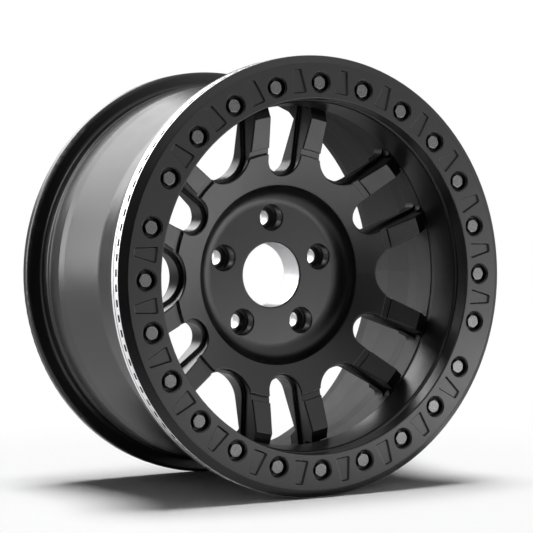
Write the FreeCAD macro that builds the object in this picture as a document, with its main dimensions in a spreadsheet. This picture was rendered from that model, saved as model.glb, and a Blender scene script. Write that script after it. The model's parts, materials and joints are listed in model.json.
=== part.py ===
import FreeCAD, Part
import math
import os
import Sketcher

# Beadlock wheel: a cast wheel with a bolted outer clamp ring.
# Frame: origin at the centre of the hub bore on the mounting face, +Y along the axle towards the
# vehicle, +Z up. The face of the wheel looks towards -Y. Lengths are millimetres, angles degrees.

SIZES = {
    # rim
    "rim_width": 215.9,
    "mount_setback": 6.0,
    "bead_seat_radius": 218.3,
    "bead_seat_width": 20.0,
    "bead_seat_taper": 5.0,
    "flange_height": 15.7,
    "front_flange_depth": 12.0,
    "rear_flange_depth": 14.0,
    "rear_mouth_rise": 3.7,
    "flange_chamfer": 2.0,
    "joint_chamfer": 0.7,
    "bead_root_radius": 4.0,
    # barrel
    "well_depth": 14.3,
    "well_front": 41.0,
    "well_length": 50.0,
    "well_blend": 9.0,
    "barrel_wall": 7.0,
    "slope_length": 68.0,
    "slope_rise": 10.5,
    "ledge_rise": 12.5,
    "ledge_gap": 10.0,
    "ledge_length": 25.0,
    "hump_height": 2.6,
    "hump_width": 7.0,
    "barrel_blend": 30.0,
    # front lip
    "lip_inset": 31.8,
    "lip_draft": 2.5,
    "lip_wall_depth": 41.0,
    "lip_round": 5.0,
    "channel_inset": 21.8,
    "channel_floor": 62.0,
    "channel_round": 2.0,
    "lip_back": 36.0,
    "lip_back_inset": 20.3,
    "throat_inset": 22.5,
    "throat_station": 17.0,
    # disc
    "dish_floor": 36.0,
    "dish_radius": 98.7,
    "dish_draft": 3.7,
    "dish_height": 19.0,
    "dish_round": 22.0,
    "face_slope": 19.14,
    "channel_width": 22.9,
    "disc_depth": 33.0,
    "shelf_width": 12.4,
    "shelf_step": 1.5,
    "shelf_drop": 3.5,
    "shoulder_offset": 0.4,
    "shoulder_rise": 8.0,
    "web_radius": 118.0,
    "web_round": 10.0,
    "pad_radius": 80.0,
    "pad_draft": 4.0,
    "edge_round": 1.2,
    "notch_radius": 133.3,
    "notch_width": 7.2,
    "notch_depth": 3.0,
    # windows
    "window_pairs": 6,
    "window_rim": 1.2,
    "window_ledge": 3.5,
    "window_step": 52.0,
    "window_back": 20.0,
    "window_corner": 5.0,
    "wide_apex": 120.5,
    "wide_round": 32.3,
    "wide_spread": 27.5,
    "narrow_apex": 109.5,
    "narrow_round": 19.5,
    "narrow_spread": 7.5,
    # hub
    "bore_radius": 35.75,
    "bore_chamfer": 1.5,
    "lug_count": 5,
    "lug_circle": 63.5,
    "lug_hole_radius": 7.75,
    "lug_seat_radius": 12.0,
    "lug_seat_angle": 30.0,
    "lug_seat_depth": 15.0,
    "lug_entry_radius": 14.0,
    "lug_entry_chamfer": 1.0,
    # clamp ring
    "ring_depth": 17.0,
    "ring_lip_gap": 1.7,
    "ring_overhang": 0.5,
    "ring_bevel_width": 8.5,
    "ring_bevel_depth": 6.5,
    "ring_inner_round": 1.5,
    "pocket_inner_reach": 10.65,
    "pocket_outer_reach": 15.45,
    "pocket_inner_width": 17.5,
    "pocket_outer_width": 9.5,
    "pocket_corner": 2.0,
    "pocket_depth": 2.4,
    "pocket_draft": 33.0,
    "land_bolts": 4,
    "grip_count": 96,
    "grip_length": 8.7,
    "grip_cut": 1.5,
    "grip_height": 4.0,
    "grip_setback": 8.0,
    # fasteners
    "bolt_count": 24,
    "bolt_inset": 29.25,
    "bolt_radius": 4.0,
    "bolt_length": 22.0,
    "head_flats": 13.0,
    "head_height": 5.3,
    "head_chamfer": 0.8,
    "head_chamfer_angle": 30.0,
    "head_sink": 3.0,
    "washer_radius": 8.0,
    "washer_depth": 1.6,
    "counterbore_radius": 10.5,
    "counterbore_chamfer": 1.5,
    "bolt_clearance": 0.4,
    "thread_clearance": 0.05,
    "insert_radius": 5.25,
    "insert_length": 16.0,
    "insert_sink": 0.3,
    "insert_hole_depth": 19.0,
}

doc = FreeCAD.newDocument("beadlock_wheel")
sheet = doc.addObject("Spreadsheet::Sheet", "sizes")
for row, (alias, value) in enumerate(SIZES.items(), start=1):
    sheet.set(f"A{row}", alias)
    sheet.set(f"B{row}", str(value))
    sheet.setAlias(f"B{row}", alias)
doc.recompute()


def size(alias):
    """Name of a sheet cell as an expression."""
    return f"sizes.{alias}"


def number(expression):
    """Present value of an expression."""
    return float(sheet.evalExpression(expression))


# Degrees from one corner of a hexagon to the next.
HEX_TURN = 60

# Stations along the axle, from the mounting face at zero.
FRONT_WALL = "(-sizes.mount_setback - sizes.rim_width / 2)"
REAR_WALL = "(sizes.rim_width / 2 - sizes.mount_setback)"
FRONT_FACE = f"({FRONT_WALL} - sizes.front_flange_depth)"
REAR_FACE = f"({REAR_WALL} + sizes.rear_flange_depth)"
WELL_START = f"({FRONT_WALL} + sizes.well_front)"
WELL_END = f"({WELL_START} + sizes.well_length)"
SLOPE_END = f"({WELL_END} + sizes.slope_length)"
LEDGE_START = f"({SLOPE_END} + sizes.ledge_gap)"
LEDGE_END = f"({LEDGE_START} + sizes.ledge_length)"
DISH_RIM = "(-sizes.dish_floor - sizes.dish_height)"
RING_FACE = f"({FRONT_FACE} - sizes.ring_depth)"
HEAD_TOP = f"({RING_FACE} + sizes.head_sink)"
HEAD_SEAT = f"({HEAD_TOP} + sizes.head_height)"
WASHER_SEAT = f"({HEAD_SEAT} + sizes.washer_depth)"
SEAT_DROP = "(sizes.bead_seat_width * tan(sizes.bead_seat_taper))"
LIP_END = f"({FRONT_FACE} + sizes.lip_wall_depth)"

# Radii from the axle. Those of the rim follow the bead seats.
FLANGE_RADIUS = "(sizes.bead_seat_radius + sizes.flange_height)"
REAR_MOUTH = "(sizes.bead_seat_radius + sizes.rear_mouth_rise)"
WELL_RADIUS = "(sizes.bead_seat_radius - sizes.well_depth)"
LIP_RADIUS = "(sizes.bead_seat_radius - sizes.lip_inset)"
LIP_FOOT = f"({LIP_RADIUS} - sizes.lip_draft)"
LIP_BACK_RADIUS = "(sizes.bead_seat_radius - sizes.lip_back_inset)"
THROAT_RADIUS = "(sizes.bead_seat_radius - sizes.throat_inset)"
CHANNEL_RADIUS = "(sizes.bead_seat_radius - sizes.channel_inset)"
SPOKE_END = f"({CHANNEL_RADIUS} - sizes.channel_width)"
SHELF_RADIUS = f"({SPOKE_END} + sizes.shelf_width)"
SHOULDER_RADIUS = f"({SPOKE_END} + sizes.shoulder_offset)"
RING_RADIUS = f"({FLANGE_RADIUS} + sizes.ring_overhang)"
RING_FACE_RADIUS = f"({RING_RADIUS} - sizes.ring_bevel_width)"
RING_BORE = f"({LIP_RADIUS} + sizes.ring_lip_gap)"
BOLT_CIRCLE = f"({RING_RADIUS} - sizes.bolt_inset)"


def face_station(radius):
    """Station of the dished spoke face at a radius, as an expression."""
    return f"({DISH_RIM} - ({radius} - sizes.dish_radius) * tan(sizes.face_slope))"


def origin_feature(body, role):
    """Origin plane or axis of a body."""
    return next(item for item in body.Origin.OriginFeatures if item.Role == role)


def new_body(name):
    body = doc.addObject("PartDesign::Body", name)
    body.Label = name
    return body


def new_sketch(body, name, role, station="0", turn="0"):
    """Sketch on an origin plane of the body, moved along its normal and turned about it."""
    sketch = body.newObject("Sketcher::SketchObject", name)
    sketch.AttachmentSupport = [(origin_feature(body, role), "")]
    sketch.MapMode = "FlatFace"
    placement = FreeCAD.Placement()
    placement.Base.z = number(station)
    placement.Rotation = FreeCAD.Rotation(FreeCAD.Vector(0, 0, 1), number(turn))
    sketch.AttachmentOffset = placement
    if station != "0":
        sketch.setExpression("AttachmentOffset.Base.z", station)
    if turn != "0":
        sketch.setExpression("AttachmentOffset.Rotation.Angle", turn)
    return sketch


def add_driven(sketch, driven):
    """Add dimension constraints, each bound to its expression."""
    for kind, places, expression in driven:
        index = sketch.addConstraint(Sketcher.Constraint(kind, *places, number(expression)))
        sketch.setExpression(f"Constraints[{index}]", expression)


def place_point(geometry, vertex, x, y):
    """Fixed and driven constraints that hold a sketch point at two expressions."""
    fixed = []
    driven = []
    origin = (-1, 1)
    for kind, axis, expression in (("DistanceX", -2, x), ("DistanceY", -1, y)):
        if expression == "0":
            fixed.append(Sketcher.Constraint("PointOnObject", geometry, vertex, axis))
        else:
            driven.append((kind, (*origin, geometry, vertex), expression))
    return fixed, driven


def draw_outline(sketch, corners):
    """Closed outline through corners (x, y, radius), each an expression. Radius 0 is a sharp corner."""
    places = [FreeCAD.Vector(number(x), number(y), 0) for x, y, radius in corners]
    radii = [number(radius) for x, y, radius in corners]
    count = len(corners)
    entries = []
    exits = []
    for index, place in enumerate(places):
        back = (places[index - 1] - place).normalize()
        ahead = (places[(index + 1) % count] - place).normalize()
        half_angle = back.getAngle(ahead) / 2
        reach = radii[index] / math.tan(half_angle)
        entries.append(place + back * reach)
        exits.append(place + ahead * reach)
    lines = []
    for index in range(count):
        line = Part.LineSegment(exits[index], entries[(index + 1) % count])
        lines.append(sketch.addGeometry(line, False))
    fixed = []
    driven = []
    for index, (x, y, radius) in enumerate(corners):
        before = lines[index - 1]
        after = lines[index]
        if radii[index] == 0:
            fixed.append(Sketcher.Constraint("Coincident", before, 2, after, 1))
            held, sized = place_point(after, 1, x, y)
            fixed += held
            driven += sized
            continue
        travel_in = entries[index] - places[index]
        travel_out = exits[index] - places[index]
        left_turn = travel_out.cross(travel_in).z > 0
        bisector = (travel_in + travel_out).normalize()
        centre_reach = math.hypot(travel_in.Length, radii[index])
        centre = places[index] + bisector * centre_reach
        start, end = (entries, exits) if left_turn else (exits, entries)
        start_ray = start[index] - centre
        end_ray = end[index] - centre
        circle = Part.Circle(centre, FreeCAD.Vector(0, 0, 1), radii[index])
        arc = Part.ArcOfCircle(circle, math.atan2(start_ray.y, start_ray.x), math.atan2(end_ray.y, end_ray.x))
        arc_index = sketch.addGeometry(arc, False)
        corner_index = sketch.addGeometry(Part.Point(places[index]), True)
        entry_vertex, exit_vertex = (1, 2) if left_turn else (2, 1)
        fixed.append(Sketcher.Constraint("Tangent", before, 2, arc_index, entry_vertex))
        fixed.append(Sketcher.Constraint("Tangent", after, 1, arc_index, exit_vertex))
        fixed.append(Sketcher.Constraint("PointOnObject", corner_index, 1, before))
        fixed.append(Sketcher.Constraint("PointOnObject", corner_index, 1, after))
        held, sized = place_point(corner_index, 1, x, y)
        fixed += held
        driven += sized
        driven.append(("Radius", (arc_index,), radius))
    sketch.addConstraint(fixed)
    add_driven(sketch, driven)


def draw_circle(sketch, x, y, radius):
    """Circle with driven centre and radius."""
    centre = FreeCAD.Vector(number(x), number(y), 0)
    circle = Part.Circle(centre, FreeCAD.Vector(0, 0, 1), number(radius))
    index = sketch.addGeometry(circle, False)
    fixed, driven = place_point(index, 3, x, y)
    sketch.addConstraint(fixed)
    add_driven(sketch, driven + [("Radius", (index,), radius)])


def revolve(body, kind, name, corners):
    """Full turn of a section (radius, station) about the axle."""
    section = new_sketch(body, f"{name}_section", "XY_Plane")
    draw_outline(section, corners)
    feature = body.newObject(kind, name)
    feature.Profile = section
    feature.ReferenceAxis = (section, ["V_Axis"])
    feature.Angle = 360
    doc.recompute()
    return feature


def revolve_beside(body, kind, name, corners, axis_radius):
    """Full turn of a section (radius from the axle, station) about a line parallel to the axle."""
    section = new_sketch(body, f"{name}_section", "YZ_Plane")
    reach = FreeCAD.Vector(1, 0, 0)
    foot = FreeCAD.Vector(0, number(axis_radius), 0)
    axis = section.addGeometry(Part.LineSegment(foot, foot + reach), True)
    held, sized = place_point(axis, 1, "0", axis_radius)
    section.addConstraint(held + [Sketcher.Constraint("Horizontal", axis)])
    section.addConstraint(Sketcher.Constraint("DistanceX", axis, 1, axis, 2, reach.Length))
    add_driven(section, sized)
    draw_outline(section, [(station, f"({axis_radius} + {radius})", "0") for radius, station in corners])
    feature = body.newObject(kind, name)
    feature.Profile = section
    feature.ReferenceAxis = (section, ["Axis0"])
    feature.Angle = 360
    doc.recompute()
    return feature


def repeat(body, name, features, count, angle="360"):
    """Copies of features about the axle."""
    pattern = body.newObject("PartDesign::PolarPattern", name)
    pattern.Originals = features
    pattern.Axis = (origin_feature(body, "Y_Axis"), [""])
    pattern.Angle = number(angle)
    pattern.Occurrences = int(number(count))
    if angle != "360":
        pattern.setExpression("Angle", angle)
    pattern.setExpression("Occurrences", count)
    body.Tip = pattern
    doc.recompute()
    return pattern


def fillet(body, name, edges, radius):
    """Round the named edges of the body as it stands."""
    base = body.Tip
    feature = body.newObject("PartDesign::Fillet", name)
    feature.Base = (base, edges)
    feature.Radius = number(radius)
    feature.setExpression("Radius", radius)
    body.Tip = feature
    doc.recompute()


def draw_window(sketch, apex, end_round, spread, inset):
    """Window outline on the sketch's X axis: a round inner end, straight sides that spread, and an
    outer end on a circle about the axle, with rounded outer corners. The inset narrows it evenly."""
    centre_x = f"({apex} + {end_round})"
    round_radius = f"({end_round} - {inset})"
    corner = size("window_corner")
    outer = f"({CHANNEL_RADIUS} - sizes.window_rim)"
    slope = math.radians(number(spread))
    middle = FreeCAD.Vector(number(centre_x), 0, 0)
    radius = number(round_radius)
    corner_radius = number(corner)
    outer_radius = number(outer)
    along = FreeCAD.Vector(math.cos(slope), math.sin(slope), 0)
    across = FreeCAD.Vector(-math.sin(slope), math.cos(slope), 0)
    upper_start = middle + across * radius
    # The corner's centre lies on a line inside the upper side and on a circle inside the outer end.
    track = middle + across * (radius - corner_radius)
    drop = track.dot(along)
    gap = outer_radius - corner_radius
    reach = -drop + math.sqrt(drop * drop - track.dot(track) + gap * gap)
    corner_centre = track + along * reach
    upper_end = corner_centre + across * corner_radius
    outer_angle = math.atan2(corner_centre.y, corner_centre.x)

    def mirrored(point):
        return FreeCAD.Vector(point.x, -point.y, 0)

    def arc(centre, arc_radius, start, end):
        circle = Part.Circle(centre, FreeCAD.Vector(0, 0, 1), arc_radius)
        return sketch.addGeometry(Part.ArcOfCircle(circle, start, end), False)

    right_angle = math.pi / 2
    inner = arc(middle, radius, right_angle + slope, 3 * right_angle - slope)
    lower = sketch.addGeometry(Part.LineSegment(mirrored(upper_start), mirrored(upper_end)), False)
    lower_corner = arc(mirrored(corner_centre), corner_radius, -right_angle - slope, -outer_angle)
    outer_end = arc(FreeCAD.Vector(0, 0, 0), outer_radius, -outer_angle, outer_angle)
    upper_corner = arc(corner_centre, corner_radius, outer_angle, right_angle + slope)
    upper = sketch.addGeometry(Part.LineSegment(upper_start, upper_end), False)
    sketch.addConstraint([
        Sketcher.Constraint("Tangent", inner, 2, lower, 1),
        Sketcher.Constraint("Tangent", lower, 2, lower_corner, 1),
        Sketcher.Constraint("Tangent", lower_corner, 2, outer_end, 1),
        Sketcher.Constraint("Tangent", outer_end, 2, upper_corner, 1),
        Sketcher.Constraint("Tangent", upper_corner, 2, upper, 2),
        Sketcher.Constraint("Tangent", upper, 1, inner, 1),
        Sketcher.Constraint("PointOnObject", inner, 3, -1),
        Sketcher.Constraint("Coincident", outer_end, 3, -1, 1),
        Sketcher.Constraint("Equal", lower_corner, upper_corner),
    ])
    add_driven(sketch, [
        ("DistanceX", (-1, 1, inner, 3), centre_x),
        ("Radius", (inner,), round_radius),
        ("Radius", (outer_end,), outer),
        ("Radius", (upper_corner,), corner),
        ("Angle", (-1, 1, upper, 1), spread),
        ("Angle", (lower, 1, -1, 1), spread),
    ])


def cut_windows(body, name, apex, end_round, spread, turn):
    """One window of each pair: a wide front opening down to a step, and a narrower one right through.
    Both start in the undercut channel, between the lip and the ends of the spokes."""
    start = f"(({LIP_END} + {face_station(SPOKE_END)}) / 2)"
    steps = [
        ("front", "0", size("window_step")),
        ("through", size("window_ledge"), size("window_back")),
    ]
    cuts = []
    for part, inset, depth in steps:
        outline = new_sketch(body, f"{name}_{part}_outline", "XZ_Plane", f"(-{start})", turn)
        draw_window(outline, apex, end_round, spread, inset)
        cut = body.newObject("PartDesign::Pocket", f"{name}_{part}")
        cut.Profile = outline
        length = f"(-{start} - {depth})"
        cut.Length = number(length)
        cut.setExpression("Length", length)
        cuts.append(cut)
    doc.recompute()
    return cuts


def window_rim_edges(shape):
    """Names of the edges where the windows break through the dished spoke face."""
    innermost = min(number(size("wide_apex")), number(size("narrow_apex")))
    rim_radius = number(size("dish_radius"))
    rim_station = number(DISH_RIM)
    slope = math.tan(math.radians(number(size("face_slope"))))
    near = 1e-3
    samples = 5
    names = []
    for index, edge in enumerate(shape.Edges, start=1):
        radii = []
        heights = []
        for point in edge.discretize(samples):
            radius = math.hypot(point.x, point.z)
            radii.append(radius)
            heights.append(abs(point.y - rim_station + (radius - rim_radius) * slope))
        on_face = max(heights) < near
        if on_face and min(radii) > innermost - near and max(radii) - min(radii) > near:
            names.append(f"Edge{index}")
    return names


def build_wheel_body():
    """The casting: hub, dished disc with its spokes, front lip and barrel."""
    body = new_body("wheel_body")
    face_end = face_station(SPOKE_END)
    shelf_end = f"({face_end} + sizes.shelf_step + sizes.shelf_drop)"
    seat_inner = f"(sizes.bead_seat_radius - {SEAT_DROP})"
    seat_end = f"({FRONT_WALL} + sizes.bead_seat_width)"
    rear_seat_start = f"({REAR_WALL} - sizes.bead_seat_width + sizes.hump_width)"
    hump_top = f"({LEDGE_END} + sizes.hump_width / 2)"
    hump_radius = f"({WELL_RADIUS} + sizes.ledge_rise + sizes.hump_height)"
    slope_radius = f"({WELL_RADIUS} + sizes.slope_rise)"
    ledge_radius = f"({WELL_RADIUS} + sizes.ledge_rise)"
    inner_slope = f"({slope_radius} - sizes.barrel_wall)"
    inner_ledge = f"({ledge_radius} - sizes.barrel_wall)"
    revolve(body, "PartDesign::Revolution", "casting", [
        ("(sizes.bore_radius + sizes.bore_chamfer)", "(-sizes.dish_floor)", "0"),
        ("(sizes.dish_radius - sizes.dish_draft)", "(-sizes.dish_floor)", size("dish_round")),
        (size("dish_radius"), DISH_RIM, size("edge_round")),
        (SPOKE_END, face_end, "0"),
        (SPOKE_END, f"({face_end} + sizes.shelf_step)", "0"),
        (SHELF_RADIUS, shelf_end, size("edge_round")),
        (SHELF_RADIUS, "(-sizes.channel_floor)", size("channel_round")),
        (CHANNEL_RADIUS, "(-sizes.channel_floor)", size("channel_round")),
        (CHANNEL_RADIUS, LIP_END, size("channel_round")),
        (LIP_FOOT, LIP_END, size("edge_round")),
        (LIP_RADIUS, FRONT_FACE, size("lip_round")),
        (f"({FLANGE_RADIUS} - sizes.joint_chamfer)", FRONT_FACE, "0"),
        (FLANGE_RADIUS, f"({FRONT_FACE} + sizes.joint_chamfer)", "0"),
        (FLANGE_RADIUS, FRONT_WALL, size("flange_chamfer")),
        (size("bead_seat_radius"), FRONT_WALL, size("bead_root_radius")),
        (seat_inner, seat_end, size("well_blend")),
        (WELL_RADIUS, WELL_START, size("well_blend")),
        (WELL_RADIUS, WELL_END, size("barrel_blend")),
        (slope_radius, SLOPE_END, "0"),
        (ledge_radius, LEDGE_START, "0"),
        (ledge_radius, LEDGE_END, "0"),
        (hump_radius, hump_top, size("hump_height")),
        (seat_inner, rear_seat_start, "0"),
        (size("bead_seat_radius"), REAR_WALL, size("bead_root_radius")),
        (RING_RADIUS, REAR_WALL, size("bead_root_radius")),
        (RING_RADIUS, REAR_FACE, size("bead_root_radius")),
        (REAR_MOUTH, REAR_FACE, size("flange_chamfer")),
        (inner_ledge, LEDGE_END, size("well_blend")),
        (inner_slope, SLOPE_END, size("barrel_blend")),
        (THROAT_RADIUS, "(-sizes.throat_station)", size("well_blend")),
        (LIP_BACK_RADIUS, "(-sizes.lip_back)", size("channel_round")),
        (f"({SHOULDER_RADIUS} + sizes.shoulder_rise)", "(-sizes.lip_back)", "0"),
        (SHOULDER_RADIUS, f"({face_station(SHOULDER_RADIUS)} + sizes.disc_depth)", "0"),
        (size("web_radius"), f"({face_station(size('web_radius'))} + sizes.disc_depth)", size("web_round")),
        ("(sizes.pad_radius + sizes.pad_draft)", f"({face_station(size('web_radius'))} + sizes.disc_depth)",
         size("web_round")),
        (size("pad_radius"), "0", size("flange_chamfer")),
        ("(sizes.bore_radius + sizes.bore_chamfer)", "0", "0"),
        (size("bore_radius"), "(-sizes.bore_chamfer)", "0"),
        (size("bore_radius"), "(sizes.bore_chamfer - sizes.dish_floor)", "0"),
    ])
    entry = "(-sizes.dish_floor)"
    seat = f"({entry} + sizes.lug_seat_depth)"
    seat_end = f"({seat} + (sizes.lug_seat_radius - sizes.lug_hole_radius) / tan(sizes.lug_seat_angle))"
    entry_rim = "(sizes.lug_entry_radius + sizes.lug_entry_chamfer)"
    lug_hole = revolve_beside(body, "PartDesign::Groove", "lug_hole", [
        ("0", DISH_RIM),
        (entry_rim, DISH_RIM),
        (entry_rim, entry),
        (size("lug_entry_radius"), f"({entry} + sizes.lug_entry_chamfer)"),
        (size("lug_entry_radius"), seat),
        (size("lug_seat_radius"), seat),
        (size("lug_hole_radius"), seat_end),
        (size("lug_hole_radius"), size("bore_chamfer")),
        ("0", size("bore_chamfer")),
    ], size("lug_circle"))
    repeat(body, "lug_holes", [lug_hole], size("lug_count"))
    insert_hole = revolve_beside(body, "PartDesign::Groove", "insert_hole", [
        ("0", f"({FRONT_FACE} - sizes.insert_sink)"),
        (size("insert_radius"), f"({FRONT_FACE} - sizes.insert_sink)"),
        (size("insert_radius"), f"({FRONT_FACE} + sizes.insert_hole_depth)"),
        ("0", f"({FRONT_FACE} + sizes.insert_hole_depth)"),
    ], BOLT_CIRCLE)
    repeat(body, "insert_holes", [insert_hole], size("bolt_count"))
    half_pitch = "(180 / sizes.window_pairs)"
    cuts = cut_windows(body, "wide_window", size("wide_apex"), size("wide_round"), size("wide_spread"), "0")
    cuts += cut_windows(
        body, "narrow_window", size("narrow_apex"), size("narrow_round"), size("narrow_spread"), half_pitch
    )
    repeat(body, "window_ring", cuts, size("window_pairs"))
    fillet(body, "window_rims", window_rim_edges(body.Shape), size("edge_round"))
    notch_end = "(sizes.notch_radius + sizes.notch_width)"
    front_clear = f"({face_station(notch_end)} - sizes.notch_depth)"
    revolve(body, "PartDesign::Groove", "spoke_notch", [
        (size("notch_radius"), front_clear, "0"),
        (notch_end, front_clear, "0"),
        (notch_end, f"({face_station(notch_end)} + sizes.notch_depth)", "0"),
        (size("notch_radius"), f"({face_station(size('notch_radius'))} + sizes.notch_depth)", "0"),
    ])
    return body


def build_beadlock_ring():
    """The clamp ring: bolt counterbores, shallow face pockets and grip cuts round its edge."""
    body = new_body("beadlock_ring")
    revolve(body, "PartDesign::Revolution", "ring", [
        (RING_BORE, RING_FACE, size("ring_inner_round")),
        (RING_FACE_RADIUS, RING_FACE, size("ring_inner_round")),
        (RING_RADIUS, f"({RING_FACE} + sizes.ring_bevel_depth)", "0"),
        (RING_RADIUS, f"({FRONT_FACE} - sizes.joint_chamfer)", "0"),
        (f"({RING_RADIUS} - sizes.joint_chamfer)", FRONT_FACE, "0"),
        (RING_BORE, FRONT_FACE, "0"),
    ])
    bore_rim = "(sizes.counterbore_radius + sizes.counterbore_chamfer)"
    clear = f"({RING_FACE} - sizes.counterbore_chamfer)"
    beyond = f"({FRONT_FACE} + sizes.counterbore_chamfer)"
    hole_radius = "(sizes.bolt_radius + sizes.bolt_clearance)"
    counterbore = revolve_beside(body, "PartDesign::Groove", "counterbore", [
        ("0", clear),
        (bore_rim, clear),
        (bore_rim, RING_FACE),
        (size("counterbore_radius"), f"({RING_FACE} + sizes.counterbore_chamfer)"),
        (size("counterbore_radius"), WASHER_SEAT),
        (hole_radius, WASHER_SEAT),
        (hole_radius, beyond),
        ("0", beyond),
    ], BOLT_CIRCLE)
    repeat(body, "counterbores", [counterbore], size("bolt_count"))
    # Pockets lie half way between bolts, in two runs that leave a plain land at each end. The first
    # land comes after land_bolts bolts, counted from the one straight above the axle.
    pocket_run = "(sizes.bolt_count / 2 - 1)"
    pitch = "(360 / sizes.bolt_count)"
    first_turn = f"(90 + (sizes.land_bolts - 0.5) * {pitch})"
    inner_end = f"({BOLT_CIRCLE} - sizes.pocket_inner_reach)"
    outer_end = f"({BOLT_CIRCLE} + sizes.pocket_outer_reach)"
    half_inner = "(sizes.pocket_inner_width / 2)"
    half_outer = "(sizes.pocket_outer_width / 2)"
    pockets = []
    for name, turn in (("upper_pocket", first_turn), ("lower_pocket", f"({first_turn} + 180)")):
        outline = new_sketch(body, f"{name}_outline", "XZ_Plane", f"(-{RING_FACE})", turn)
        draw_outline(outline, [
            (inner_end, f"(-{half_inner})", size("pocket_corner")),
            (outer_end, f"(-{half_outer})", size("pocket_corner")),
            (outer_end, half_outer, size("pocket_corner")),
            (inner_end, half_inner, size("pocket_corner")),
        ])
        pocket = body.newObject("PartDesign::Pocket", name)
        pocket.Profile = outline
        pocket.Length = number(size("pocket_depth"))
        pocket.setExpression("Length", size("pocket_depth"))
        pocket.TaperAngle = -number(size("pocket_draft"))
        pocket.setExpression("TaperAngle", "-sizes.pocket_draft")
        doc.recompute()
        pockets.append(pocket)
    repeat(body, "face_pockets", pockets, pocket_run, f"(({pocket_run} - 1) * {pitch})")
    # Each grip cut is the edge of a round cutter that stands mostly outside the ring.
    half_chord = "(sizes.grip_length / 2)"
    cutter_radius = f"(({half_chord} ^ 2 + sizes.grip_cut ^ 2) / (2 * sizes.grip_cut))"
    grip_outline = new_sketch(body, "grip_outline", "XZ_Plane", f"(-{RING_FACE} - sizes.grip_setback)",
                              "(180 / sizes.grip_count)")
    draw_circle(grip_outline, f"({RING_RADIUS} + {cutter_radius} - sizes.grip_cut)", "0", cutter_radius)
    grip = body.newObject("PartDesign::Pocket", "grip")
    grip.Profile = grip_outline
    grip.Length = number(size("grip_height"))
    grip.setExpression("Length", size("grip_height"))
    doc.recompute()
    repeat(body, "grips", [grip], size("grip_count"))
    return body


def build_ring_bolt():
    """One hex bolt on the bolt circle, straight above the axle."""
    body = new_body("ring_bolt")
    head_outline = new_sketch(body, "head_outline", "XZ_Plane", f"(-{HEAD_SEAT})")
    face_radius = "(sizes.head_flats / 2)"
    corner = f"({face_radius} / cos({HEX_TURN} / 2))"
    corners = []
    for turn in range(0, 360, HEX_TURN):
        corners.append((f"({corner} * sin({turn}))", f"({BOLT_CIRCLE} + {corner} * cos({turn}))", "0"))
    for index in (0, len(corners) // 2):
        corners[index] = ("0", corners[index][1], "0")
    draw_outline(head_outline, corners)
    head = body.newObject("PartDesign::Pad", "head")
    head.Profile = head_outline
    head.Length = number(size("head_height"))
    head.setExpression("Length", size("head_height"))
    doc.recompute()
    clear_radius = f"({corner} + sizes.head_chamfer)"
    revolve_beside(body, "PartDesign::Groove", "head_chamfer", [
        (face_radius, HEAD_TOP),
        (clear_radius, f"({HEAD_TOP} + ({clear_radius} - {face_radius}) * tan(sizes.head_chamfer_angle))"),
        (clear_radius, f"({HEAD_TOP} - sizes.head_chamfer)"),
        (face_radius, f"({HEAD_TOP} - sizes.head_chamfer)"),
    ], BOLT_CIRCLE)
    tip = f"({HEAD_SEAT} + sizes.bolt_length)"
    revolve_beside(body, "PartDesign::Revolution", "shank", [
        ("0", HEAD_SEAT),
        (size("bolt_radius"), HEAD_SEAT),
        (size("bolt_radius"), f"({tip} - sizes.head_chamfer)"),
        ("(sizes.bolt_radius - sizes.head_chamfer)", tip),
        ("0", tip),
    ], BOLT_CIRCLE)
    return body


def build_tube(name, inner, outer, start, end):
    """One plain tube on the bolt circle, straight above the axle."""
    body = new_body(name)
    revolve_beside(body, "PartDesign::Revolution", f"{name}_tube", [
        (inner, start),
        (outer, start),
        (outer, end),
        (inner, end),
    ], BOLT_CIRCLE)
    return body


def ring_of(name, body):
    """Group of copies of a body, one for each bolt, about the axle."""
    count = int(number(size("bolt_count")))
    copies = []
    for index in range(count):
        turn = FreeCAD.Rotation(FreeCAD.Vector(0, 1, 0), 360 * index / count)
        copy = body.Shape.copy()
        copy.Placement = FreeCAD.Placement(FreeCAD.Vector(0, 0, 0), turn) * copy.Placement
        copies.append(copy)
    group = doc.addObject("Part::Feature", name)
    group.Label = name
    group.Shape = Part.makeCompound(copies)
    group.Placement = FreeCAD.Placement()
    return group


def build_fasteners():
    """Bolts, their washers and the threaded bushes that they screw into."""
    hole_radius = "(sizes.bolt_radius + sizes.bolt_clearance)"
    thread_radius = "(sizes.bolt_radius + sizes.thread_clearance)"
    insert_start = f"({FRONT_FACE} + sizes.insert_sink)"
    insert_end = f"({insert_start} + sizes.insert_length)"
    washer = build_tube("bolt_washer", hole_radius, size("washer_radius"), HEAD_SEAT, WASHER_SEAT)
    insert = build_tube("thread_insert", thread_radius, size("insert_radius"), insert_start, insert_end)
    bolt = build_ring_bolt()
    doc.recompute()
    return [
        ring_of("ring_bolts", bolt),
        ring_of("bolt_washers", washer),
        ring_of("thread_inserts", insert),
    ]


def main():
    nodes = [build_wheel_body(), build_beadlock_ring()]
    nodes += build_fasteners()
    doc.recompute()
    for item in doc.Objects:
        if "Invalid" in item.State or "Error" in item.State:
            raise RuntimeError(f"{item.Name} did not build: {item.State}")
    for node in nodes:
        if node.Shape.isNull() or not node.Shape.isValid():
            raise RuntimeError(f"{node.Label} has no valid shape")
    os.makedirs("parts", exist_ok=True)
    for node in nodes:
        node.Shape.exportStep(f"parts/{node.Label}.step")


main()
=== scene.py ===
import json
import math

import bpy
from mathutils import Matrix, Vector


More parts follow.
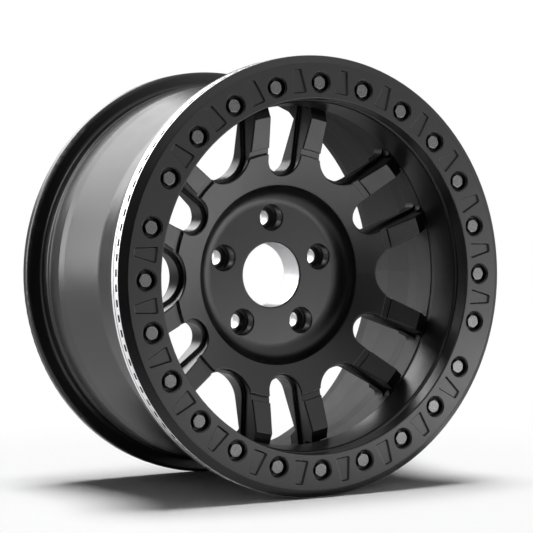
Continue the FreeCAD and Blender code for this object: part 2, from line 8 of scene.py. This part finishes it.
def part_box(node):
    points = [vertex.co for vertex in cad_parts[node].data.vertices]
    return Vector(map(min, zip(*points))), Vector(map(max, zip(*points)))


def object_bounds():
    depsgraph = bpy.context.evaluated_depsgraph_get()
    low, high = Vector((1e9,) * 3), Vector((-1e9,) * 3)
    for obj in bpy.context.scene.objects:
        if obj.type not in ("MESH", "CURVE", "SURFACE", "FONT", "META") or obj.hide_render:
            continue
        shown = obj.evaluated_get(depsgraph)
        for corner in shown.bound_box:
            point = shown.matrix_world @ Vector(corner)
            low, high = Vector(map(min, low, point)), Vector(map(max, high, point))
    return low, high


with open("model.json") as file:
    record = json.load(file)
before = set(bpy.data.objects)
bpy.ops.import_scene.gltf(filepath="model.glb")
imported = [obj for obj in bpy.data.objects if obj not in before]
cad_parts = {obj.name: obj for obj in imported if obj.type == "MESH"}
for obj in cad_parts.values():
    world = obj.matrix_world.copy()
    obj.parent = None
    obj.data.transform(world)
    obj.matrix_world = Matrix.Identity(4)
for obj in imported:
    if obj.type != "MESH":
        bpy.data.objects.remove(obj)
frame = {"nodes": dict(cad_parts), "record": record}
cad_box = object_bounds()

# Camera, as it stood for the photograph: degrees, metres, and pixels of a square picture.
VIEW_AZIMUTH = -29.5
VIEW_ELEVATION = 1.3
VIEW_ROLL = -0.26
VIEW_DISTANCE = 1.9279
VIEW_SHIFT_RIGHT = 0.0570
VIEW_SHIFT_UP = -0.01096
FOCAL_PIXELS = 1820.2
PICTURE_PIXELS = 533
SENSOR_WIDTH = 36.0

# Where the casting and the clamp ring are bare or dull, in metres.
# Facets of a round wall lie up to this far inside it.
FACET_DEPTH = 0.0004
# The clamp ring stands this far proud of the casting's front flange.
RING_OVERHANG = 0.0005
# Bare metal on the flange's edge reaches this far back from the clamp ring.
BARE_FLANGE = 0.005
# Half of the dark seam between the clamp ring and the flange.
SEAM_HALF = 0.0013
# The inside of the barrel lies beyond this distance behind the clamp ring and this radius,
# and its wall faces the axle by more than this.
BARREL_START = 0.055
BARREL_RADIUS = 0.17
BARREL_FACING = -0.3

# Sharp edges: the radius they show, and the cosines between which they start and end.
EDGE_ROUND = 0.0011
EDGE_SAMPLES = 6
EDGE_START = 0.998
EDGE_END = 0.88

# Paint: grey level, roughness on each piece, and what the dull inside of the barrel adds.
PAINT_TONE = 0.005
PAINT_TONE_SPREAD = (0.8, 1.25)
PAINT_ROUGH_SPREAD = (-0.04, 0.06)
WHEEL_ROUGHNESS = 0.3
RING_ROUGHNESS = 0.32
DULL_ROUGHNESS = 0.3
# Sharp edges are lighter than the paint: partly worn paint, partly a painted highlight.
WORN_AND_HIGHLIGHT_TONE = 0.16
WORN_AND_HIGHLIGHT_SHARE = 0.7
# Bare turned aluminium.
BARE_TONES = (0.86, 0.6)
BARE_ROUGHNESS = (0.3, 0.46)
# Relief of paint and turned lines: share and height in metres.
RELIEF_STRENGTH = 0.12
RELIEF_HEIGHT = 0.0003
# Noise, in cells to the metre.
MOTTLE_CELLS = 55.0
PEEL_CELLS = 1400.0
STAIN_CELLS = 90.0
LATHE_CELLS = (12.0, 5200.0, 12.0)

# Plated steel: material name, dark and light grey, and roughness.
STEEL_FINISHES = {
    "ring_bolts": ("dark_bolt_steel", 0.04, 0.2, 0.34),
    "bolt_washers": ("black_washer_steel", 0.02, 0.05, 0.4),
    "thread_inserts": ("bright_insert_steel", 0.4, 0.6, 0.3),
}
STEEL_ROUGH_SPREAD = (-0.06, 0.1)
# Painted highlight: sharp steel edges are lightened by this factor.
STEEL_EDGE_HIGHLIGHT_GAIN = 2.5
STEEL_CLOUD_CELLS = 420.0
STEEL_GRAIN_CELLS = 1100.0
STEEL_SPECKLE = (0.35, 0.65)
STEEL_RELIEF_STRENGTH = 0.25
STEEL_RELIEF_HEIGHT = 0.0002
# The greys of the wheel are slightly cold.
COLD_BLUE = 1.02

# Level of the surroundings as light on matt things.
AMBIENT = 0.12
# Zones of the room that reflections show darker:
# direction, cosines at the outer and inner edge, level.
DARK_ZONES = [
    ((-0.54, -0.84, 0.1), 0.6, 0.9, 0.0),
    ((0.05, 1.0, 0.0), 0.72, 0.94, 0.2),
    ((0.8, 0.6, 0.1), 0.3, 0.8, 0.4),
]
WHITE = (1.0, 1.0, 1.0, 1.0)
BLACK = (0.0, 0.0, 0.0, 1.0)
FLOOR_COLOUR = (0.93, 0.93, 0.93, 1.0)
FLOOR_HALF = 6.0
# The floor fades from its own colour to white between these distances from the origin.
FLOOR_FADE = (0.42, 0.75)
# Overhead light: level on a white floor, and width in degrees.
OVERHEAD_LEVEL = 0.95
OVERHEAD_WIDTH = 28.0
# Softboxes: name, place, width, height and radiance.
SOFTBOXES = [
    ("back_high", (-0.4, 1.7, 1.15), 1.8, 1.1, 4.0),
    ("back_left", (-1.7, 1.0, 0.5), 0.9, 1.1, 8.0),
    ("left_strip", (-1.9, 0.0, 1.5), 0.5, 1.4, 6.0),
    ("right_low", (1.0, -0.75, -0.06), 0.8, 0.34, 2.0),
    ("floor_strip", (0.4, -0.45, -0.165), 0.8, 0.13, 3.0),
]

MOUNTS = {mount["name"]: mount for mount in frame["record"]["mounts"]}
_, RING_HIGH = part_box("beadlock_ring")
RING_RADIUS = RING_HIGH[0]
RING_BACK = RING_HIGH[1]
BORE_RADIUS = MOUNTS["hub_bore"]["dims"]["r_mm"] / 1000
LUG_CIRCLE = MOUNTS["lug_holes"]["dims"]["pcd_mm"] / 2000
LUG_COUNT = MOUNTS["lug_holes"]["dims"]["count"]
LUG_RADIUS = MOUNTS["lug_holes"]["dims"]["hole_r_mm"] / 1000


class Graph:
    """Adds shader nodes to one tree and joins them."""

    def __init__(self, tree):
        self.tree = tree
        tree.nodes.clear()

    def put(self, socket, value):
        """Join a socket to another, or set its constant."""
        if isinstance(value, bpy.types.NodeSocket):
            self.tree.links.new(value, socket)
        else:
            socket.default_value = value

    def add(self, kind, inputs=None, **settings):
        """New node with its settings and inputs."""
        node = self.tree.nodes.new(kind)
        for name, value in settings.items():
            setattr(node, name, value)
        for name, value in (inputs or {}).items():
            self.put(node.inputs[name], value)
        return node

    def math(self, operation, *values):
        node = self.add("ShaderNodeMath", operation=operation)
        for socket, value in zip(node.inputs, values):
            self.put(socket, value)
        return node.outputs["Value"]

    def product_sum(self, first, second, third, fourth):
        """first * second + third * fourth."""
        left = self.math("MULTIPLY", first, second)
        right = self.math("MULTIPLY", third, fourth)
        return self.math("ADD", left, right)

    def dot(self, first, second):
        inputs = {0: first, 1: second}
        node = self.add("ShaderNodeVectorMath", inputs, operation="DOT_PRODUCT")
        return node.outputs["Value"]

    def remap(self, value, start, end, low=0.0, high=1.0, curve="LINEAR"):
        """A value between start and end, moved to run from low to high and kept there."""
        inputs = {
            "Value": value,
            "From Min": start,
            "From Max": end,
            "To Min": low,
            "To Max": high,
        }
        node = self.add("ShaderNodeMapRange", inputs, interpolation_type=curve)
        return node.outputs["Result"]

    def mix(self, kind, factor, first, second):
        """Mix of two values, of kind FLOAT, or of two colours, of kind RGBA."""
        suffix = {"FLOAT": "Float", "RGBA": "Color"}[kind]
        node = self.add("ShaderNodeMix", data_type=kind)
        values = {"Factor_Float": factor, f"A_{suffix}": first, f"B_{suffix}": second}
        for socket in node.inputs:
            if socket.identifier in values:
                self.put(socket, values[socket.identifier])
        return next(out for out in node.outputs if out.identifier == f"Result_{suffix}")

    def noise(self, place, scale, detail):
        inputs = {"Vector": place, "Scale": scale, "Detail": detail}
        return self.add("ShaderNodeTexNoise", inputs).outputs["Fac"]

    def bump(self, height, strength, distance, normal):
        inputs = {"Height": height, "Strength": strength, "Distance": distance, "Normal": normal}
        return self.add("ShaderNodeBump", inputs).outputs["Normal"]

    def finish(self, shader):
        """Show a shader on the surface."""
        self.add("ShaderNodeOutputMaterial", {"Surface": shader})


def grey(value):
    return (value, value, value * COLD_BLUE, 1.0)


def new_material(name):
    material = bpy.data.materials.new(name)
    material.use_nodes = True
    return material, Graph(material.node_tree)


def object_place(graph):
    """Place on the part, its distance from the axle and its x, y, z."""
    place = graph.add("ShaderNodeTexCoord").outputs["Object"]
    x, y, z = graph.add("ShaderNodeSeparateXYZ", {"Vector": place}).outputs
    radius = graph.math("SQRT", graph.product_sum(x, x, z, z))
    return place, radius, (x, y, z)


def off_seam(graph, y):
    """0 in the seam between the clamp ring and the flange, 1 elsewhere."""
    distance = graph.math("ABSOLUTE", graph.math("SUBTRACT", y, RING_BACK))
    return graph.math("GREATER_THAN", distance, SEAM_HALF)


def outward_facing(graph, x, z, radius):
    """How far the surface faces away from the axle: 1 outward, -1 inward."""
    normal = graph.add("ShaderNodeTexCoord").outputs["Normal"]
    normal_x, _, normal_z = graph.add("ShaderNodeSeparateXYZ", {"Vector": normal}).outputs
    return graph.math("DIVIDE", graph.product_sum(normal_x, x, normal_z, z), radius)


def rounded_normal(graph, radius):
    """Normal that runs smoothly over sharp edges, so that they catch the light."""
    node = graph.add("ShaderNodeBevel", {"Radius": radius}, samples=EDGE_SAMPLES)
    return node.outputs["Normal"]


def edge_mask(graph, rounded):
    """1 on sharp edges and 0 on flat faces."""
    flat = graph.add("ShaderNodeNewGeometry").outputs["Normal"]
    return graph.remap(graph.dot(rounded, flat), EDGE_START, EDGE_END)


def turned_grain(graph, place):
    """Fine lines round the axle, as a lathe tool leaves them."""
    stretch = graph.add("ShaderNodeMapping", {"Vector": place, "Scale": LATHE_CELLS})
    return graph.noise(stretch.outputs["Vector"], 1.0, 2.0)


def finish_paint(graph, place, bare, dull, roughness, edge_round):
    """Satin paint, with bare turned aluminium where bare is 1 and a dull face where dull is 1;
    sharp edges are lightened as worn paint and painted highlight.
    """
    rounded = rounded_normal(graph, edge_round)
    edges = edge_mask(graph, rounded)
    mottle = graph.noise(place, MOTTLE_CELLS, 3.0)
    peel = graph.noise(place, PEEL_CELLS, 2.0)
    stains = graph.noise(place, STAIN_CELLS, 5.0)
    lines = turned_grain(graph, place)
    darker, lighter = (grey(PAINT_TONE * share) for share in PAINT_TONE_SPREAD)
    paint = graph.mix("RGBA", mottle, darker, lighter)
    # Painted highlight: sharp edges are lightened, partly as worn paint and partly to stand in
    # for the light they catch.
    worn_and_highlight = graph.mix("RGBA", graph.math("MULTIPLY", edges, WORN_AND_HIGHLIGHT_SHARE), paint, grey(WORN_AND_HIGHLIGHT_TONE))
    clean, stained = (grey(tone) for tone in BARE_TONES)
    metal = graph.mix("RGBA", graph.math("MULTIPLY", stains, lines), clean, stained)
    smoothest, roughest = (roughness + step for step in PAINT_ROUGH_SPREAD)
    satin = graph.remap(mottle, 0.0, 1.0, smoothest, roughest)
    paint_rough = graph.math("ADD", satin, graph.math("MULTIPLY", dull, DULL_ROUGHNESS))
    metal_rough = graph.remap(lines, 0.0, 1.0, *BARE_ROUGHNESS)
    relief = graph.mix("FLOAT", bare, peel, lines)
    shader = graph.add("ShaderNodeBsdfPrincipled", {
        "Base Color": graph.mix("RGBA", bare, worn_and_highlight, metal),
        "Metallic": bare,
        "Roughness": graph.mix("FLOAT", bare, paint_rough, metal_rough),
        "Normal": graph.bump(relief, RELIEF_STRENGTH, RELIEF_HEIGHT, rounded),
    })
    graph.finish(shader.outputs["BSDF"])


def lug_mask(graph, x, z, radius):
    """1 inside the lug holes, the first of which is straight above the axle."""
    angle = graph.math("SUBTRACT", graph.math("ARCTAN2", z, x), math.pi / 2)
    half_pitch = math.pi / LUG_COUNT
    turn = graph.math("WRAP", angle, half_pitch, -half_pitch)
    reach = graph.math("MULTIPLY", radius, graph.math("COSINE", turn))
    along = graph.math("SUBTRACT", reach, LUG_CIRCLE)
    across = graph.math("MULTIPLY", radius, graph.math("SINE", turn))
    square = graph.product_sum(along, along, across, across)
    return graph.math("LESS_THAN", square, (LUG_RADIUS + FACET_DEPTH) ** 2)


def barrel_mask(graph, x, y, z, radius):
    """1 on the inside of the barrel, behind the disc."""
    inward = graph.math("LESS_THAN", outward_facing(graph, x, z, radius), BARREL_FACING)
    deep = graph.math("GREATER_THAN", y, RING_BACK + BARREL_START)
    wide = graph.math("GREATER_THAN", radius, BARREL_RADIUS)
    return graph.math("MULTIPLY", inward, graph.math("MULTIPLY", deep, wide))


def wheel_paint():
    """Casting: satin black, with a bare flange edge, hub bore and lug holes."""
    material, graph = new_material("wheel_satin_black")
    place, radius, (x, y, z) = object_place(graph)
    front = graph.math("LESS_THAN", y, RING_BACK + BARE_FLANGE)
    rim = graph.math("GREATER_THAN", radius, RING_RADIUS - RING_OVERHANG - FACET_DEPTH)
    flange_edge = graph.math("MULTIPLY", graph.math("MULTIPLY", front, rim), off_seam(graph, y))
    bore = graph.math("LESS_THAN", radius, BORE_RADIUS + FACET_DEPTH)
    holes = graph.math("MAXIMUM", bore, lug_mask(graph, x, z, radius))
    bare = graph.math("MAXIMUM", flange_edge, holes)
    inside = barrel_mask(graph, x, y, z, radius)
    finish_paint(graph, place, bare, inside, WHEEL_ROUGHNESS, EDGE_ROUND)
    return material


def ring_paint():
    """Clamp ring: satin black face, bare outer wall between its grip cuts."""
    material, graph = new_material("ring_satin_black")
    place, radius, (_, y, _) = object_place(graph)
    wall = graph.math("GREATER_THAN", radius, RING_RADIUS - FACET_DEPTH)
    bare = graph.math("MULTIPLY", wall, off_seam(graph, y))
    finish_paint(graph, place, bare, 0.0, RING_ROUGHNESS, EDGE_ROUND / 2)
    return material


def plated_steel(name, dark, light, roughness):
    """Plated steel with a grainy, slightly stained surface and painted highlights on its sharp
    edges.
    """
    material, graph = new_material(name)
    place, _, _ = object_place(graph)
    rounded = rounded_normal(graph, EDGE_ROUND)
    edges = edge_mask(graph, rounded)
    cloud = graph.noise(place, STEEL_CLOUD_CELLS, 4.0)
    grain = graph.noise(place, STEEL_GRAIN_CELLS, 3.0)
    speckle = graph.remap(grain, *STEEL_SPECKLE)
    base = graph.mix("RGBA", speckle, grey(dark), grey(light))
    # Painted highlight: a lighter grey on the sharp edges.
    bright = grey(min(1.0, light * STEEL_EDGE_HIGHLIGHT_GAIN))
    smoothest, roughest = (roughness + step for step in STEEL_ROUGH_SPREAD)
    shader = graph.add("ShaderNodeBsdfPrincipled", {
        "Base Color": graph.mix("RGBA", edges, base, bright),
        "Metallic": 1.0,
        "Roughness": graph.remap(cloud, 0.0, 1.0, smoothest, roughest),
        "Normal": graph.bump(grain, STEEL_RELIEF_STRENGTH, STEEL_RELIEF_HEIGHT, rounded),
    })
    graph.finish(shader.outputs["BSDF"])
    return material


def dress_nodes():
    """Give each piece of the frame its material."""
    finishes = {"wheel_body": wheel_paint(), "beadlock_ring": ring_paint()}
    for name, steel in STEEL_FINISHES.items():
        finishes[name] = plated_steel(*steel)
    for name, material in finishes.items():
        mesh = frame["nodes"][name].data
        mesh.materials.clear()
        mesh.materials.append(material)


def seen_or_mirrored(graph):
    """1 for rays from the camera and in reflections, 0 for rays that only give light."""
    rays = graph.add("ShaderNodeLightPath").outputs
    return graph.math("MAXIMUM", rays["Is Camera Ray"], rays["Is Glossy Ray"])


def room_level(graph, direction):
    """1 in most directions from the wheel, and less in the darker zones of the room."""
    level = 1.0
    for aim, outer, inner, dark in DARK_ZONES:
        toward = graph.dot(direction, Vector(aim).normalized())
        zone = graph.remap(toward, outer, inner, 1.0, dark, "SMOOTHSTEP")
        level = graph.math("MULTIPLY", level, zone)
    return level


def floor_paint():
    """Pale near the wheel, where it takes the shadow, and white further out."""
    material, graph = new_material("pale_floor")
    place = graph.add("ShaderNodeTexCoord").outputs["Object"]
    reach = graph.add("ShaderNodeVectorMath", {0: place}, operation="LENGTH").outputs["Value"]
    far = graph.remap(reach, *FLOOR_FADE, curve="SMOOTHSTEP")
    unit = graph.add("ShaderNodeVectorMath", {0: place}, operation="NORMALIZE")
    shade = graph.math("SUBTRACT", 1.0, room_level(graph, unit.outputs["Vector"]))
    mirrored = graph.add("ShaderNodeLightPath").outputs["Is Glossy Ray"]
    dimming = graph.math("MULTIPLY", mirrored, shade)
    colour = graph.mix("RGBA", dimming, FLOOR_COLOUR, BLACK)
    matt = graph.add("ShaderNodeBsdfDiffuse", {"Color": colour}).outputs["BSDF"]
    glow = graph.math("SUBTRACT", 1.0, dimming)
    white = graph.add("ShaderNodeEmission", {"Strength": glow}).outputs["Emission"]
    factor = graph.math("MULTIPLY", far, seen_or_mirrored(graph))
    shader = graph.add("ShaderNodeMixShader", {0: factor, 1: matt, 2: white})
    graph.finish(shader.outputs["Shader"])
    return material


def make_floor():
    """Square floor under the wheel."""
    level = cad_box[0].z
    sides = ((-1, -1), (1, -1), (1, 1), (-1, 1))
    corners = [(x * FLOOR_HALF, y * FLOOR_HALF, level) for x, y in sides]
    mesh = bpy.data.meshes.new("floor")
    mesh.from_pydata(corners, [], [(0, 1, 2, 3)])
    mesh.materials.append(floor_paint())
    floor = bpy.data.objects.new("floor", mesh)
    bpy.context.scene.collection.objects.link(floor)


def make_world():
    """White behind the wheel, and a softer level where it only gives light."""
    world = bpy.data.worlds.new("studio")
    bpy.context.scene.world = world
    world.use_nodes = True
    graph = Graph(world.node_tree)
    direction = graph.add("ShaderNodeTexCoord").outputs["Generated"]
    sight = graph.add("ShaderNodeLightPath").outputs["Is Camera Ray"]
    plain = graph.remap(seen_or_mirrored(graph), 0.0, 1.0, AMBIENT, 1.0)
    level = graph.math("MULTIPLY", plain, room_level(graph, direction))
    strength = graph.math("MAXIMUM", sight, level)
    background = graph.add("ShaderNodeBackground", {"Color": WHITE, "Strength": strength})
    graph.add("ShaderNodeOutputWorld", {"Surface": background.outputs["Background"]})


def overhead_light():
    """Wide light from above that gives the shadow and isn't mirrored."""
    lamp = bpy.data.lights.new("overhead", "SUN")
    lamp.energy = OVERHEAD_LEVEL * math.pi
    lamp.angle = math.radians(OVERHEAD_WIDTH)
    holder = bpy.data.objects.new("overhead", lamp)
    holder.visible_glossy = False
    bpy.context.scene.collection.objects.link(holder)


def softbox(name, place, width, height, radiance):
    """Area lamp aimed at the wheel's middle, for highlights only."""
    lamp = bpy.data.lights.new(name, "AREA")
    lamp.shape = "RECTANGLE"
    lamp.size = width
    lamp.size_y = height
    lamp.energy = radiance * math.pi * width * height
    holder = bpy.data.objects.new(name, lamp)
    holder.location = place
    holder.rotation_mode = "QUATERNION"
    holder.rotation_quaternion = (-Vector(place)).to_track_quat("-Z", "Y")
    holder.visible_camera = False
    holder.visible_diffuse = False
    bpy.context.scene.collection.objects.link(holder)


def make_camera():
    """Camera of the photograph, aimed at the front of the bolts on the axle."""
    azimuth = math.radians(VIEW_AZIMUTH)
    elevation = math.radians(VIEW_ELEVATION)
    level = math.cos(elevation)
    back = Vector((math.sin(azimuth) * level, -math.cos(azimuth) * level, math.sin(elevation)))
    level_right = Vector((math.cos(azimuth), math.sin(azimuth), 0.0))
    level_up = back.cross(level_right)
    roll = math.radians(VIEW_ROLL)
    right = math.cos(roll) * level_right + math.sin(roll) * level_up
    up = math.cos(roll) * level_up - math.sin(roll) * level_right
    target = Vector((0.0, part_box("ring_bolts")[0][1], 0.0))
    place = target + VIEW_DISTANCE * back - VIEW_SHIFT_RIGHT * right - VIEW_SHIFT_UP * up
    data = bpy.data.cameras.new("camera")
    data.sensor_width = SENSOR_WIDTH
    data.lens = FOCAL_PIXELS / PICTURE_PIXELS * SENSOR_WIDTH
    camera = bpy.data.objects.new("camera", data)
    turn = Matrix((right, up, back)).transposed()
    camera.matrix_world = Matrix.LocRotScale(place, turn.to_quaternion(), None)
    bpy.context.scene.collection.objects.link(camera)
    bpy.context.scene.camera = camera


bpy.context.scene.view_settings.view_transform = "Standard"
dress_nodes()
make_floor()
make_world()
overhead_light()
for box in SOFTBOXES:
    softbox(*box)
make_camera()
